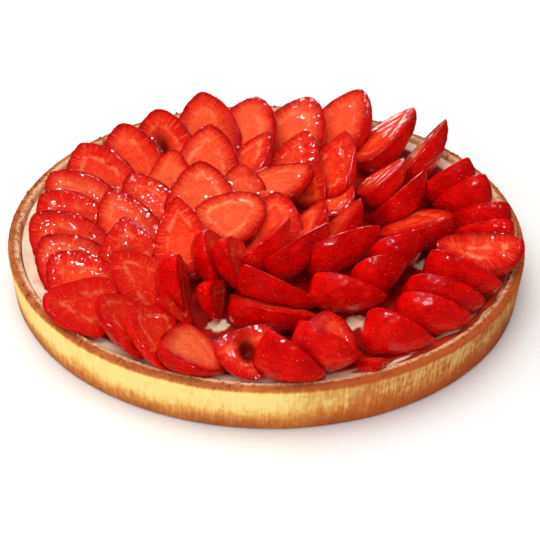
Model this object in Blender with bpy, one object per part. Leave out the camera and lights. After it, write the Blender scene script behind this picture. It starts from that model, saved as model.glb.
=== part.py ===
"""A round strawberry tart: a low pastry case, a bed of pastry cream, and halved strawberries
laid in overlapping rings that swirl in to a dark hollow a little left of the middle.

Every length is in metres and Z is up. The case rests on Z = 0 and its axis is the Z axis."""

import math

import bmesh
import bpy
from mathutils import Matrix, Vector
from mathutils.bvhtree import BVHTree

MM = 0.001

# The pastry case, baked in a 240 mm ring.
CASE_TOP_RADIUS = 120 * MM
CASE_FOOT_RADIUS = 118.6 * MM
CASE_HEIGHT = 22 * MM
CASE_WALL = 5.6 * MM
CASE_FLOOR = 5 * MM
FOOT_ROUNDING = 1.6 * MM
RIM_ROUNDING = 1.5 * MM
RIM_WAVE = 0.45 * MM
CASE_STEPS = 90

# The pastry cream, a hair clear of the case all round.
CREAM_TOP = 18.5 * MM
CREAM_SWELL = 0.5 * MM
CREAM_STEPS = 48
GAP = 0.3 * MM

# A halved strawberry: a blunt shoulder, a drawn-in point and a flat cut face.
BERRY_DEPTH_SHARE = 0.45
SHOULDER_FULLNESS = 0.25
BERRY_RINGS = 7
BERRY_SIDES = 5
BERRY_GAP = 0.35 * MM

# Each row lays one half: the azimuth, distance from the axis and height of its point, how far
# the point is turned anticlockwise from straight out, how far it tips up, how far the cut face
# leans towards the next half round the ring, its length and width, and how drawn-in its point
# is, in hundredths. Angles are in degrees and lengths in millimetres. The groups, and the rows in
# them, are in the order of laying: a half keeps its whole shape only where no later one presses
# into it.
LOW_FRONT = (
    (312, 79, 25, 44, -10, 60, 34, 26, 62),
    (327, 73, 32, 53, 7, 60, 26, 28, 62),
    (341, 75, 33, 38, 8, 60, 27, 28, 62),
    (288, 77, 25, 71, -12, 28, 39, 28, 62),
    (292, 101, 22, 35, -20, 10, 23, 28, 62),
)
OUTER_RING = (
    (310, 111, 22, 39, -13, 60, 31, 31, 75),
    (321, 113, 24, 36, -10, 65, 33, 27, 62),
    (328, 112, 24, 31, -13, 60, 36, 30, 62),
    (334, 115, 27, 11, -15, 50, 35, 30, 62),
    (353, 83, 25, -170, -6, -60, 31, 26, 62),
    (0, 82, 27, -178, -7, -60, 31, 29, 62),
    (10, 79, 27, -171, -14, -60, 28, 30, 62),
    (17, 73, 28, -170, -17, -55, 30, 32, 62),
    (40, 116, 40, 3, 30, 45, 42, 29, 62),
    (49, 112, 41, -13, 26, 24, 44, 33, 58),
    (65, 112, 42, -14, 33, 15, 42, 39, 55),
    (78, 100, 39, -17, 30, 10, 42, 42, 58),
    (94, 97, 39, -25, 30, 12, 41, 41, 58),
    (110, 105, 40, -12, 36, 20, 42, 38, 62),
    (125, 101, 38, -24, 36, 20, 40, 37, 60),
    (138, 100, 38, -32, 34, 20, 40, 36, 60),
    (152, 105, 36, -29, 30, 20, 39, 35, 58),
    (168, 106, 35, -26, 25, 25, 39, 34, 58),
    (178, 105, 35, -35, 25, 25, 39, 34, 58),
    (187, 107, 34, -41, 25, 25, 39, 34, 58),
    (197, 105, 33, -51, 25, 25, 38, 34, 58),
    (204, 103, 32, -61, 22, 20, 37, 33, 58),
    (232, 110, 21, 68, -26, 5, 29, 34, 72),
)
MIDDLE_RING = (
    (341, 54, 29, -131, -7, -25, 34, 34, 62),
    (22, 80, 36, 22, 16, 50, 36, 32, 62),
    (28, 74, 40, 0, 27, 30, 29, 30, 62),
    (58, 71, 40, 11, 23, 25, 43, 31, 66),
    (74, 66, 38, -6, 22, 20, 40, 33, 64),
    (90, 62, 38, -38, 25, 15, 40, 30, 68),
    (115, 71, 40, -28, 27, 10, 42, 36, 66),
    (164, 68, 38, -40, 25, 15, 38, 30, 62),
    (178, 74, 38, -56, 27, 15, 38, 30, 62),
    (197, 67, 38, -96, 28, 5, 38, 32, 68),
    (214, 81, 36, -65, 24, 10, 38, 31, 66),
)
FRONT_RIM = (
    (244, 112, 21, 53, -22, 28, 34, 22, 66),
    (251, 115, 21, 40, -23, 25, 33, 24, 66),
    (262, 108, 21, 70, -22, 15, 29, 29, 62),
    (269, 112, 21, 28, -39, -12, 22, 27, 62),
    (283, 113, 22, 53, -21, 60, 30, 30, 62),
    (292, 107, 25, 50, -16, 50, 29, 36, 62),
)
INNER_SWIRL = (
    (3, 43, 37, 43, 26, 40, 38, 29, 62),
    (357, 26, 38, 53, 26, 30, 38, 29, 62),
    (55, 36, 38, -26, 14, -5, 32, 27, 62),
    (139, 43, 40, -44, 22, 0, 40, 36, 64),
    (210, 3, 38, 189, 9, -15, 34, 29, 46),
    (186, 42, 40, -87, 17, 5, 45, 27, 74),
    (245, 78, 19, 32, -34, 75, 28, 29, 62),
    (342, 54, 34, 44, 9, 55, 40, 28, 62),
    (324, 35, 38, 70, 15, 50, 38, 28, 62),
    (299, 21, 39, 98, 21, 40, 34, 28, 62),
    (291, 69, 25, 54, -18, 45, 38, 28, 62),
    (251, 58, 22, 26, -34, 60, 28, 27, 62),
)
FACE_UP_ON_TOP = ((335, 107, 29, -60, -14, 0, 24, 40, 55),)
LAYING_ORDER = (
    ("low", LOW_FRONT),
    ("outer", OUTER_RING),
    ("middle", MIDDLE_RING),
    ("front", FRONT_RIM),
    ("inner", INNER_SWIRL),
    ("top", FACE_UP_ON_TOP),
)


def clear_scene():
    for old in list(bpy.data.objects):
        bpy.data.objects.remove(old, do_unlink=True)


def make_material(name, colour, roughness):
    material = bpy.data.materials.new(name)
    material.use_nodes = True
    shader = material.node_tree.nodes["Principled BSDF"]
    shader.inputs["Base Color"].default_value = (*colour, 1)
    shader.inputs["Roughness"].default_value = roughness
    shader.inputs["Metallic"].default_value = 0
    return material


def add_object(name, mesh, material):
    made = bpy.data.objects.new(name, mesh)
    mesh.materials.append(material)
    bpy.context.collection.objects.link(made)
    return made


def revolved_mesh(name, steps, profile_at, capped=True):
    """A closed solid of revolution. profile_at(angle) gives (radius, height) pairs that run up
    the outside and back in. A capped one is closed by a disc at its first and its last ring; one
    that isn't is a loop of pastry, closed from its last ring back to its first."""
    model = bmesh.new()
    rings = []
    for step in range(steps):
        angle = 2 * math.pi * step / steps
        ring = []
        for radius, height in profile_at(angle):
            ring.append(model.verts.new((radius * math.cos(angle), radius * math.sin(angle), height)))
        rings.append(ring)
    for step in range(steps):
        here = rings[step]
        beside = rings[(step + 1) % steps]
        for row in range(len(here) - 1):
            model.faces.new((here[row], beside[row], beside[row + 1], here[row + 1]))
        if not capped:
            model.faces.new((here[-1], beside[-1], beside[0], here[0]))
    if capped:
        model.faces.new([ring[0] for ring in reversed(rings)])
        model.faces.new([ring[-1] for ring in rings])
    bmesh.ops.recalc_face_normals(model, faces=model.faces)
    mesh = bpy.data.meshes.new(name)
    model.to_mesh(mesh)
    model.free()
    mesh.shade_smooth()
    return mesh


def rim_height(angle):
    """The rim rises and sinks a little, as baked pastry does."""
    slow = math.sin(3 * angle + 0.7)
    quick = 0.6 * math.sin(7 * angle + 2.1)
    return CASE_HEIGHT + RIM_WAVE * (slow + quick - 1)


def case_profile(angle):
    """The underside, the rounded foot, the wall that flares slightly, the rim, and the well."""
    top = rim_height(angle)
    inner = CASE_TOP_RADIUS - CASE_WALL
    return (
        (CASE_FOOT_RADIUS - FOOT_ROUNDING, 0),
        (CASE_FOOT_RADIUS - 0.3 * FOOT_ROUNDING, 0.3 * FOOT_ROUNDING),
        (CASE_FOOT_RADIUS, FOOT_ROUNDING),
        (CASE_TOP_RADIUS, top - 2 * RIM_ROUNDING),
        (CASE_TOP_RADIUS - 0.3 * RIM_ROUNDING, top - 0.5 * RIM_ROUNDING),
        (CASE_TOP_RADIUS - RIM_ROUNDING, top),
        (inner + RIM_ROUNDING, top),
        (inner, top - RIM_ROUNDING),
        (inner - 0.6 * MM, CASE_FLOOR),
    )


def room_for_case_profile(angle):
    """The rim and the upper wall of the case, a hair larger, for the berries that lie on them."""
    top = rim_height(angle) + GAP
    inner = CASE_TOP_RADIUS - CASE_WALL - GAP
    return (
        (CASE_TOP_RADIUS + CASE_WALL, CREAM_TOP - CASE_FLOOR),
        (CASE_TOP_RADIUS + CASE_WALL, top),
        (inner + RIM_ROUNDING, top),
        (inner, top - RIM_ROUNDING),
        (inner - 0.2 * MM, CREAM_TOP - CASE_FLOOR),
    )


def cream_profile(angle):
    """A disc of cream whose top dips a little here and there below its level."""
    edge = CASE_TOP_RADIUS - CASE_WALL - 2 * GAP
    dip = CREAM_SWELL * (0.5 + 0.5 * math.sin(5 * angle + 1.3))
    return (
        (edge - 0.6 * MM, CASE_FLOOR + GAP),
        (edge - 0.1 * MM, CREAM_TOP - 0.8 * MM),
        (edge - 0.8 * MM, CREAM_TOP),
        (edge - 6 * MM, CREAM_TOP - dip),
        (edge - 30 * MM, CREAM_TOP - 0.5 * dip),
    )


def across_at(share, taper):
    """The width of a strawberry at this share of its length, as a share of its greatest width."""
    widest = SHOULDER_FULLNESS / (SHOULDER_FULLNESS + taper)
    greatest = widest ** SHOULDER_FULLNESS * (1 - widest) ** taper
    return share ** SHOULDER_FULLNESS * (1 - share) ** taper / greatest


def half_berry(length, width, taper, grown):
    """Half a strawberry from its shoulder at x = 0 to its point at x = length. The cut face is
    the plane z = 0 and the skin is below it. grown moves every surface out by that much."""
    depth = BERRY_DEPTH_SHARE * width
    model = bmesh.new()
    shoulder = model.verts.new((-grown, 0, grown - 0.2 * grown))
    rings = []
    for ring in range(1, BERRY_RINGS):
        share = (1 - math.cos(math.pi * ring / BERRY_RINGS)) / 2
        across = across_at(share, taper)
        corners = []
        for side in range(BERRY_SIDES + 1):
            angle = math.pi * side / BERRY_SIDES
            y = (across * width / 2 + grown) * math.cos(angle)
            z = grown - (across * depth + 2 * grown) * math.sin(angle)
            corners.append(model.verts.new((share * length, y, z)))
        rings.append(corners)
    point = model.verts.new((length + grown, 0, grown - 0.2 * grown))
    for side in range(BERRY_SIDES):
        model.faces.new((shoulder, rings[0][side], rings[0][side + 1]))
        model.faces.new((point, rings[-1][side + 1], rings[-1][side]))
        for here, beside in zip(rings, rings[1:]):
            model.faces.new((here[side], beside[side], beside[side + 1], here[side + 1]))
    rim = [shoulder]
    rim += [corners[0] for corners in rings]
    rim.append(point)
    rim += [corners[-1] for corners in reversed(rings)]
    model.faces.new(rim)
    bmesh.ops.recalc_face_normals(model, faces=model.faces)
    bmesh.ops.triangulate(model, faces=model.faces)
    return model


def laid_frame(row):
    """The matrix that takes a half berry from its own axes to its place on the tart."""
    azimuth, radius, height, turn, lift, lean, length = row[:7]
    heading = math.radians(azimuth + turn)
    lift = math.radians(lift)
    lean = math.radians(lean)
    forward = Vector((
        math.cos(heading) * math.cos(lift),
        math.sin(heading) * math.cos(lift),
        math.sin(lift),
    ))
    beside = Vector((-math.sin(heading), math.cos(heading), 0))
    up = forward.cross(beside)
    face = up * math.cos(lean) + beside * math.sin(lean)
    turned = Matrix((forward, face.cross(forward), face)).transposed().to_4x4()
    around = math.radians(azimuth)
    point = Vector((math.cos(around) * radius, math.sin(around) * radius, height)) * MM
    return Matrix.Translation(point) @ turned @ Matrix.Translation((-length * MM, 0, 0))


def laid_berry(row, grown=0):
    model = half_berry(row[6] * MM, row[7] * MM, row[8] / 100, grown)
    bmesh.ops.transform(model, matrix=laid_frame(row), verts=model.verts)
    return model


def rest_on_cream(model):
    """Cuts off what would be under the top of the cream, so that the half sits on it."""
    everything = [*model.verts, *model.edges, *model.faces]
    bmesh.ops.bisect_plane(
        model,
        geom=everything,
        plane_co=(0, 0, CREAM_TOP + GAP),
        plane_no=(0, 0, -1),
        clear_outer=True,
    )
    cut = [edge for edge in model.edges if edge.is_boundary]
    if cut:
        bmesh.ops.holes_fill(model, edges=cut, sides=0)
    bmesh.ops.recalc_face_normals(model, faces=model.faces)


def keep_largest_body(model):
    """Drops the slips that a cut leaves behind: one strawberry half is one body."""
    left = set(model.verts)
    bodies = []
    while left:
        body = set()
        edge_of_body = [left.pop()]
        while edge_of_body:
            vert = edge_of_body.pop()
            body.add(vert)
            for edge in vert.link_edges:
                other = edge.other_vert(vert)
                if other in left:
                    left.discard(other)
                    edge_of_body.append(other)
        bodies.append(body)
    bodies.sort(key=lambda body: sum(face.calc_area() for vert in body for face in vert.link_faces))
    for body in bodies[:-1]:
        bmesh.ops.delete(model, geom=list(body), context="VERTS")


def mesh_of(model, name):
    mesh = bpy.data.meshes.new(name)
    model.to_mesh(mesh)
    return mesh


def helper_object(name, mesh):
    """A guide that only takes room away from others. It is never part of the tart."""
    helper = bpy.data.objects.new(name, mesh)
    helper.hide_render = True
    helper.display_type = "WIRE"
    return helper


def tree_of(helper):
    model = bmesh.new()
    model.from_mesh(helper.data)
    tree = BVHTree.FromBMesh(model)
    model.free()
    return tree


def lay_berries(material):
    """Makes every half, then cuts each one clear of the later halves that press into it."""
    rows = []
    for group, members in LAYING_ORDER:
        for number, row in enumerate(members, 1):
            rows.append((f"strawberry_{group}_{number:02d}", row))
    case_room = revolved_mesh("room_for_case", CASE_STEPS, room_for_case_profile, capped=False)
    pressing = [helper_object("room_for_case", case_room)]
    for name, row in rows:
        cutter = laid_berry(row, BERRY_GAP)
        pressing.append(helper_object("room_for_" + name, mesh_of(cutter, "room_for_" + name)))
        cutter.free()
    trees = [tree_of(helper) for helper in pressing]
    berries = []
    for index, (name, row) in enumerate(rows):
        model = laid_berry(row)
        tree = BVHTree.FromBMesh(model)
        rest_on_cream(model)
        berry = add_object(name, mesh_of(model, name), material)
        model.free()
        in_the_way = [helper for helper, other in
                      zip([pressing[0], *pressing[index + 2:]], [trees[0], *trees[index + 2:]])
                      if tree.overlap(other)]
        for helper in in_the_way:
            bpy.context.collection.objects.link(helper)
            cut = berry.modifiers.new(helper.name, "BOOLEAN")
            cut.operation = "DIFFERENCE"
            cut.solver = "EXACT"
            cut.object = helper
        bpy.context.view_layer.update()
        cut_berry = berry.evaluated_get(bpy.context.evaluated_depsgraph_get())
        model = bmesh.new()
        model.from_mesh(cut_berry.to_mesh())
        cut_berry.to_mesh_clear()
        berry.modifiers.clear()
        for helper in in_the_way:
            bpy.context.collection.objects.unlink(helper)
        keep_largest_body(model)
        bmesh.ops.remove_doubles(model, verts=model.verts, dist=0.01 * MM)
        bmesh.ops.dissolve_limit(
            model, angle_limit=math.radians(1), verts=model.verts, edges=model.edges
        )
        bmesh.ops.triangulate(model, faces=model.faces)
        # The berry's origin is its own middle, so that it can be picked up and turned there.
        middle = sum((vert.co for vert in model.verts), Vector()) / len(model.verts)
        bmesh.ops.translate(model, vec=-middle, verts=model.verts)
        model.to_mesh(berry.data)
        model.free()
        berry.location = middle
        berry.data.shade_smooth()
        berry.data.set_sharp_from_angle(angle=math.radians(40))
        berries.append(berry)
    for helper in pressing:
        bpy.data.objects.remove(helper, do_unlink=True)
    return berries


def main():
    clear_scene()
    baked = make_material("baked_pastry", (0.73, 0.42, 0.13), 0.6)
    creamy = make_material("pastry_cream", (0.93, 0.78, 0.56), 0.4)
    fruit = make_material("glazed_strawberry", (0.72, 0.01, 0.008), 0.15)
    tart = bpy.data.objects.new("tart", None)
    bpy.context.collection.objects.link(tart)
    crust = add_object("crust", revolved_mesh("crust", CASE_STEPS, case_profile), baked)
    cream = add_object("cream", revolved_mesh("cream", CREAM_STEPS, cream_profile), creamy)
    for piece in (crust, cream, *lay_berries(fruit)):
        piece.parent = tart
    print("pieces:", len(tart.children))


main()
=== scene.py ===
# %% [markdown]
# # A glazed strawberry tart
#
# A shallow pastry case holds a layer of pastry cream. Halved strawberries lie on the cream in
# overlapping rings that swirl in to a dark hollow, and all the fruit is brushed with a red glaze.
# The case, the cream and each half are solids in a frame that is already at its real size. This
# lesson gives every one of them its finished surface, in place, and adds the small things that
# only the eye needs: seeds, glaze and crumbs.

# %% Load the frame
import math

import bmesh
import bpy
import numpy as np
from mathutils import Matrix, Vector
from mathutils.bvhtree import BVHTree


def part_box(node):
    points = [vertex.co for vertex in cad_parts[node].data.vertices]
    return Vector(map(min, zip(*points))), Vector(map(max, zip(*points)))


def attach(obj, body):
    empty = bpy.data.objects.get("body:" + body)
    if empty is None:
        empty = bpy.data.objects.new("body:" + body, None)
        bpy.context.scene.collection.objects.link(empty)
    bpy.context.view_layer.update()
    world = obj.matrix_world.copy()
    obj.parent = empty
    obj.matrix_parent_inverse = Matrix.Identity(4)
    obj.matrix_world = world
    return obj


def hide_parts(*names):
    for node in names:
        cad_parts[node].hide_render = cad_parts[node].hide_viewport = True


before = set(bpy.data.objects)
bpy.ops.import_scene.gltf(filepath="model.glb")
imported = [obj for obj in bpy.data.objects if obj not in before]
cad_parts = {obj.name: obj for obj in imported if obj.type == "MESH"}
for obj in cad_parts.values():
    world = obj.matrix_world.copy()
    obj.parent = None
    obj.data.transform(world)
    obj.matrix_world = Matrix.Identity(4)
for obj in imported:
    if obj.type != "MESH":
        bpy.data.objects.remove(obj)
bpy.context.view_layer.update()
MM = 0.001
print("pieces in the frame:", len(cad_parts))

# %% [markdown]
# ## The camera
#
# The tart stands on a table and is seen from a seated person's height, with a long lens, so that
# its rings look like flat ellipses and the far berries stay nearly as large as the near ones. The
# camera is tilted a little to one side, as one held in the hand is. A camera is made from data
# (its lens) and an object (its place), and a matrix sets the place in one step: go there, tip
# down, then roll.

# %% Make the camera
CAMERA_PLACE = Vector((1.85, -531.5, 367.5)) * MM
CAMERA_DOWN = math.radians(34.9)
CAMERA_ROLL = math.radians(1.2)
CAMERA_LENS = 90.3

camera_data = bpy.data.cameras.new("camera")
camera_data.lens = CAMERA_LENS
camera = bpy.data.objects.new("camera", camera_data)
bpy.context.collection.objects.link(camera)
camera.matrix_world = (
    Matrix.Translation(CAMERA_PLACE)
    @ Matrix.Rotation(math.pi / 2 - CAMERA_DOWN, 4, "X")
    @ Matrix.Rotation(CAMERA_ROLL, 4, "Z")
)
bpy.context.scene.camera = camera
bpy.context.scene.view_settings.view_transform = "Standard"
print("camera at", [round(value, 3) for value in CAMERA_PLACE])

# %% [markdown]
# ## Colours and nodes
#
# A colour is written as the six-figure hex code that any paint program shows. Those codes are
# sRGB, and a shader wants linear light, so one function turns one into the other. Another adds a
# node: it takes the settings of the node and what goes into each input, either a plain value or
# the node that feeds it. Both shader trees and Geometry Nodes trees are built with it.


# %% Colour and node helpers
def linear(code):
    """The linear colour, with an alpha of 1, of a hex code such as "C81E1E"."""
    colour = []
    for start in (0, 2, 4):
        value = int(code[start:start + 2], 16) / 255
        colour.append(value / 12.92 if value <= 0.04045 else ((value + 0.055) / 1.055) ** 2.4)
    return (*colour, 1)


def add_node(tree, kind, inputs=None, stops=None, **settings):
    """Adds a node. inputs maps a socket's identifier or name to a value, a socket or a node, of
    which the first output is taken. stops are the (place, hex code) pairs of a colour ramp."""
    made = tree.nodes.new(kind)
    for name, value in settings.items():
        setattr(made, name, value)
    for name, value in (inputs or {}).items():
        socket = next((one for one in made.inputs if one.identifier == name), None)
        socket = socket or made.inputs[name]
        if isinstance(value, bpy.types.Node):
            value = value.outputs[0]
        if isinstance(value, bpy.types.NodeSocket):
            tree.links.new(value, socket)
        else:
            socket.default_value = value
    if stops:
        ramp = made.color_ramp.elements
        ramp[0].position = stops[0][0]
        ramp[1].position = stops[-1][0]
        for place, _ in stops[1:-1]:
            ramp.new(place)
        for stop, (_, code) in zip(ramp, stops):
            stop.color = linear(code)
    return made


def new_material(name, **constants):
    """A material with a Principled BSDF, whose constants are set on its own sockets."""
    material = bpy.data.materials.new(name)
    material.use_nodes = True
    shader = material.node_tree.nodes["Principled BSDF"]
    for key, value in constants.items():
        shader.inputs[key.replace("_", " ")].default_value = value
    return material, material.node_tree, shader


print("a strawberry red in linear light:", [round(value, 3) for value in linear("C80A08")])

# %% [markdown]
# ## The table and the light
#
# Food is often shown on a white sweep under large soft lights. The floor is one big square, and is left out
# of the tart's body, so it isn't part of the tart. Two very large lights give the soft, even light that
# keeps the shadow faint. They are hidden from glossy surfaces, because a wet red surface that mirrors a
# white room turns pink. Small lights do show in the glaze, as the short bright glints that make fruit look
# wet.

# %% Make the floor and the lights
FLOOR_HALF = 3

floor_mesh = bpy.data.meshes.new("table_top")
floor_corners = [(-1, -1), (1, -1), (1, 1), (-1, 1)]
floor_mesh.from_pydata([(x * FLOOR_HALF, y * FLOOR_HALF, 0) for x, y in floor_corners], [], [(0, 1, 2, 3)])
floor = bpy.data.objects.new("table_top", floor_mesh)
bpy.context.collection.objects.link(floor)
floor_paint, floor_tree, floor_shader = new_material(
    "matt_white_card", Base_Color=linear("F4F4F4"), Roughness=0.9
)
floor_mesh.materials.append(floor_paint)
floor.visible_glossy = False


def add_area_light(name, place, target, width, depth, power, glints):
    """A light at a place, turned to face a target. Lengths are in metres. glints says whether it
    only shows in glossy surfaces, or only lights the colours."""
    data = bpy.data.lights.new(name, "AREA")
    data.shape = "RECTANGLE"
    data.size = width
    data.size_y = depth
    data.energy = power
    light = bpy.data.objects.new(name, data)
    light.location = place
    light.rotation_euler = (Vector(target) - Vector(place)).to_track_quat("-Z", "Y").to_euler()
    light.visible_glossy = glints
    light.visible_diffuse = not glints
    bpy.context.collection.objects.link(light)
    return light


add_area_light("overhead_sheet", (-0.6, 0.5, 2.2), (0, 0, 0), 3.0, 3.0, 63, False)
add_area_light("front_sheet", (-0.9, -2.2, 1.1), (0, 0, 0), 2.0, 1.4, 30, False)
add_area_light("top_glint", (-0.08, 0.05, 1.1), (0, 0, 0), 0.06, 0.04, 0.4, True)
add_area_light("back_glint", (-0.55, 0.75, 0.95), (0, 0, 0), 0.08, 0.08, 1.1, True)
add_area_light("side_glint", (0.02, -0.38, 0.98), (0, 0, 0), 0.12, 0.07, 1.7, True)
add_area_light("right_glint", (0.45, 0.75, 0.85), (0, 0, 0), 0.06, 0.06, 0.8, True)
add_area_light("front_glint", (0.42, -0.5, 0.8), (0, 0, 0), 0.12, 0.05, 1.2, True)
add_area_light("low_window", (-0.1, 1.5, 0.0), (0, 0, 0.03), 0.7, 0.3, 2.2, True)

world = bpy.data.worlds.new("pale_room")
world.use_nodes = True
world.node_tree.nodes["Background"].inputs["Color"].default_value = linear("FFFFFF")
world.node_tree.nodes["Background"].inputs["Strength"].default_value = 0.36
world.cycles_visibility.glossy = False
bpy.context.scene.world = world

# %% [markdown]
# ## The pastry case: one outline, turned round
#
# The case was pressed into a plain ring, so its shape is one outline turned about the middle. In
# Geometry Nodes that outline is a short line of points, and Curve to Mesh carries it round a
# circle. Set Position then roughens the surface along its own normal: fine upright grooves on the
# wall, where the dough shrank from the ring, and small crumbly lumps on the rim. Two attributes
# on the outline, wall and rim, say where each kind of roughness belongs. The same tree turns the
# cream, with other numbers.


# %% Build the turning tree
def open_tree(name, sockets):
    """A Geometry Nodes tree with a geometry input and output and the named extra inputs. It also
    gives the identifier of each input, by which a modifier sets its value."""
    tree = bpy.data.node_groups.new(name, "GeometryNodeTree")
    tree.interface.new_socket("Geometry", in_out="OUTPUT", socket_type="NodeSocketGeometry")
    tree.interface.new_socket("Geometry", in_out="INPUT", socket_type="NodeSocketGeometry")
    identifiers = {}
    for label, kind in sockets:
        socket = tree.interface.new_socket(label, in_out="INPUT", socket_type="NodeSocket" + kind)
        identifiers[label] = socket.identifier
    return tree, identifiers, tree.nodes.new("NodeGroupInput")


SWEEP_RADIUS = 100 * MM


def build_turning_tree():
    tree, identifiers, given = open_tree("turned_and_roughened", (
        ("Steps Round", "Int"), ("Groove Pitch", "Float"), ("Groove Depth", "Float"),
        ("Lump Size", "Float"), ("Lump Height", "Float"),
        ("Rim Grain Size", "Float"), ("Rim Grain Height", "Float"), ("Material", "Material"),
    ))
    want = given.outputs
    outline = add_node(tree, "GeometryNodeMeshToCurve", {"Mesh": want["Geometry"]})
    circle = add_node(tree, "GeometryNodeCurvePrimitiveCircle",
                      {"Resolution": want["Steps Round"], "Radius": SWEEP_RADIUS})
    upright = add_node(tree, "GeometryNodeSetCurveNormal", {"Curve": circle}, mode="Z_UP")
    turned = add_node(tree, "GeometryNodeCurveToMesh", {"Curve": upright, "Profile Curve": outline})
    closed = add_node(tree, "GeometryNodeMergeByDistance", {"Geometry": turned, "Distance": 0.01 * MM})
    smooth = add_node(tree, "GeometryNodeSetShadeSmooth", {"Geometry": closed})
    place = add_node(tree, "GeometryNodeInputPosition")
    normal = add_node(tree, "GeometryNodeInputNormal")
    flat = add_node(tree, "ShaderNodeVectorMath", {"Vector": place, "Vector_001": (1, 1, 0.06)},
                    operation="MULTIPLY")

    def rough(vector, size, height, attribute, detail):
        """Noise of this size, from minus to plus half its height, where the attribute allows."""
        scale = add_node(tree, "ShaderNodeMath", {"Value": 1.0, "Value_001": size}, operation="DIVIDE")
        noise = add_node(tree, "ShaderNodeTexNoise",
                         {"Vector": vector, "Scale": scale, "Detail": detail, "Roughness": 0.55})
        centred = add_node(tree, "ShaderNodeMath", {"Value": noise, "Value_001": 0.5},
                           operation="SUBTRACT")
        high = add_node(tree, "ShaderNodeMath", {"Value": centred, "Value_001": height},
                        operation="MULTIPLY")
        where = add_node(tree, "GeometryNodeInputNamedAttribute", {"Name": attribute},
                         data_type="FLOAT")
        return add_node(tree, "ShaderNodeMath", {"Value": high, "Value_001": where},
                        operation="MULTIPLY")

    grooves = rough(flat, want["Groove Pitch"], want["Groove Depth"], "wall", 1)
    lumps = rough(place, want["Lump Size"], want["Lump Height"], "skin", 2)
    grain = rough(place, want["Rim Grain Size"], want["Rim Grain Height"], "rim", 3)
    two = add_node(tree, "ShaderNodeMath", {"Value": grooves, "Value_001": lumps}, operation="ADD")
    three = add_node(tree, "ShaderNodeMath", {"Value": two, "Value_001": grain}, operation="ADD")
    shift = add_node(tree, "ShaderNodeVectorMath", {"Vector": normal, "Scale": three}, operation="SCALE")
    moved = add_node(tree, "GeometryNodeSetPosition", {"Geometry": smooth, "Offset": shift})
    real = add_node(tree, "GeometryNodeRealizeInstances", {"Geometry": moved})
    coated = add_node(tree, "GeometryNodeSetMaterial",
                      {"Geometry": real, "Material": want["Material"]})
    add_node(tree, "NodeGroupOutput", {"Geometry": coated})
    return tree, identifiers


turning_tree, turning_inputs = build_turning_tree()
print("turning tree inputs:", list(turning_inputs))

# %% [markdown]
# ## Turning a piece
#
# A helper puts the outline into a mesh, gives it the attributes, sets the inputs by their
# identifiers and reads back the evaluated result as a plain mesh. The modifier goes, so what is
# left is only the finished surface.


# %% Helper that turns an outline
def plain_piece(name, source, tree, values):
    """Runs a Geometry Nodes tree on a source mesh and keeps the result as a plain mesh object.
    values maps the identifier of each input to its value."""
    piece = bpy.data.objects.new(name, source)
    bpy.context.collection.objects.link(piece)
    modifier = piece.modifiers.new("nodes", "NODES")
    modifier.node_group = tree
    for identifier, value in values.items():
        modifier[identifier] = value
    graph = bpy.context.evaluated_depsgraph_get()
    made = bpy.data.meshes.new_from_object(piece.evaluated_get(graph), depsgraph=graph)
    piece.modifiers.clear()
    piece.data = made
    made.name = name
    bpy.data.meshes.remove(source)
    return piece


def face_outwards(mesh):
    """Turns a closed mesh the right way out."""
    model = bmesh.new()
    model.from_mesh(mesh)
    bmesh.ops.recalc_face_normals(model, faces=model.faces)
    if model.calc_volume(signed=True) < 0:
        bmesh.ops.reverse_faces(model, faces=model.faces)
    model.to_mesh(mesh)
    model.free()


def turn_outline(name, rows, values):
    """rows are (radius, height, wall, rim) up the outside and back in to the middle."""
    outline = bpy.data.meshes.new(name + "_outline")
    points = [(row[0] - SWEEP_RADIUS, -row[1], 0) for row in rows]
    outline.from_pydata(points, [(i, i + 1) for i in range(len(rows) - 1)], [])
    on_axis = [row[0] > 0 for row in rows]
    for label, numbers in (
        ("wall", [row[2] for row in rows]), ("rim", [row[3] for row in rows]), ("skin", on_axis),
    ):
        layer = outline.attributes.new(label, "FLOAT", "POINT")
        layer.data.foreach_set("value", [float(number) for number in numbers])
    named = {turning_inputs[label]: value for label, value in values.items()}
    piece = plain_piece(name, outline, turning_tree, named)
    face_outwards(piece.data)
    return piece


def arc(centre, radius, start, end, steps):
    """(radius, height) points along an arc of an outline, with angles in degrees."""
    points = []
    for step in range(steps + 1):
        angle = math.radians(start + (end - start) * step / steps)
        points.append((centre[0] + radius * math.cos(angle), centre[1] + radius * math.sin(angle)))
    return points


print("arc from the rim outwards:", [round(x / MM, 2) for x, _ in arc((10 * MM, 0), MM, 0, 90, 2)])

# %% [markdown]
# ## Baked pastry
#
# Shortcrust is pale gold where it was shielded by the ring and browns where the heat reaches it:
# along the foot, which sat on the hot tray, and on the bare rim. Its surface is matt and dry, with
# a little fat in it, so the roughness stays high. Object coordinates give the height, for the
# browning, and noise stretched upwards gives the fine streaks left by the ring.


# %% Make the pastry material
def multiply(tree, *factors):
    """The product of any number of values or nodes."""
    total = factors[0]
    for factor in factors[1:]:
        total = add_node(tree, "ShaderNodeMath", {"Value": total, "Value_001": factor},
                         operation="MULTIPLY")
    return total


def between(tree, value, low, high):
    """A smooth step from 0 where the value is low to 1 where it is high."""
    return add_node(tree, "ShaderNodeMapRange",
                    {"Value": value, "From Min": low, "From Max": high},
                    interpolation_type="SMOOTHSTEP")


def mix_colours(tree, factor, first, second):
    """first where the factor is 0 and second where it is 1. Either may be a hex code."""
    first, second = [linear(one) if isinstance(one, str) else one for one in (first, second)]
    made = add_node(tree, "ShaderNodeMix",
                    {"Factor_Float": factor, "A_Color": first, "B_Color": second},
                    data_type="RGBA")
    return next(one for one in made.outputs if one.identifier == "Result_Color")


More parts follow.
